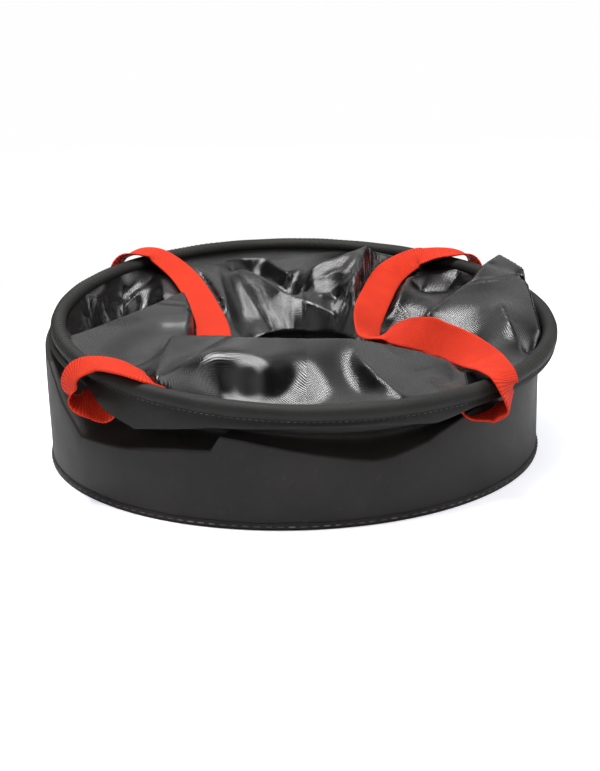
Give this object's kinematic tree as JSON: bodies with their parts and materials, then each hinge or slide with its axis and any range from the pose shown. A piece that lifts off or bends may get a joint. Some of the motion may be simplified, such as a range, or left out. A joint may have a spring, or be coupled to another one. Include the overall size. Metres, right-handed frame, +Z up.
{
  "type": "collapsible camp bucket",
  "caption": "Round collapsible bucket of black coated fabric, folded down, with a hooped rim, folds tucked inside a low upright wall and orange webbing carry handles over the rim.",
  "frame": {"origin": "centre of the base's underside, on the surface that the bucket stands on", "axes": "+Z up, +X to the right and +Y to the back as pictured: the right handle lies toward +X and the rim's high side is at the back"},
  "size_m": [0.3583, 0.3494, 0.1218],
  "materials": {
    "coated_fabric": "satin",
    "folded_fabric": "satin",
    "sleeve_fabric": "satin",
    "black_thread": "matte",
    "grey_board": "matte",
    "hoop_plastic": "satin",
    "ferrule_metal": "satin",
    "orange_webbing": "matte"
  },
  "bodies": {
    "base": {"base_panel": "coated_fabric", "base_hem": "coated_fabric", "base_board": "grey_board", "base_liner": "coated_fabric", "base_seam_thread": "black_thread", "lower_wall": "coated_fabric", "wall_seam_tape": "coated_fabric"},
    "wall_fold": {"folded_wall": "folded_fabric"},
    "rim": {"rim_hoop": "hoop_plastic", "hoop_ferrule": "ferrule_metal", "rim_sleeve": "sleeve_fabric", "rim_skirt": "coated_fabric", "rim_hem_thread": "black_thread", "left_back_strap_loop": "orange_webbing", "left_front_strap_loop": "orange_webbing", "right_back_strap_loop": "orange_webbing", "right_front_strap_loop": "orange_webbing", "left_back_strap_end": "orange_webbing", "left_front_strap_end": "orange_webbing", "right_back_strap_end": "orange_webbing", "right_front_strap_end": "orange_webbing", "left_back_strap_stitching": "black_thread", "left_front_strap_stitching": "black_thread", "right_back_strap_stitching": "black_thread", "right_front_strap_stitching": "black_thread"},
    "left_handle": {"left_handle_strap": "orange_webbing"},
    "right_handle": {"right_handle_strap": "orange_webbing"}
  },
  "joints": [
    {"name": "rim_lift", "type": "slide", "parent": "base", "child": "wall_fold", "axis": [-0.0419, 0.0124, 0.999], "range_m": [0, 0.2137], "deforming": ["folded_wall"]},
    {"name": "rim_level", "type": "hinge", "parent": "wall_fold", "child": "rim", "pos_m": [-0.0288, 0.1631, 0.1145], "axis": [-0.975, -0.2221, 0], "range_deg": [0, 7.82]},
    {"name": "left_handle_swing", "type": "hinge", "parent": "rim", "child": "left_handle", "pos_m": [-0.11266, -0.0026, 0.10262], "axis": [0, -0.9912, -0.1326], "range_deg": [0, 166], "deforming": ["left_back_strap_loop", "left_front_strap_loop"]},
    {"name": "right_handle_swing", "type": "hinge", "parent": "rim", "child": "right_handle", "pos_m": [0.12098, -0.00166, 0.09562], "axis": [0, 0.9912, 0.1326], "range_deg": [0, 166], "deforming": ["right_back_strap_loop", "right_front_strap_loop"]}
  ],
  "couplings": [
    {"joint": "rim_level", "follows": "rim_lift", "rad_per_m": 0.638}
  ]
}
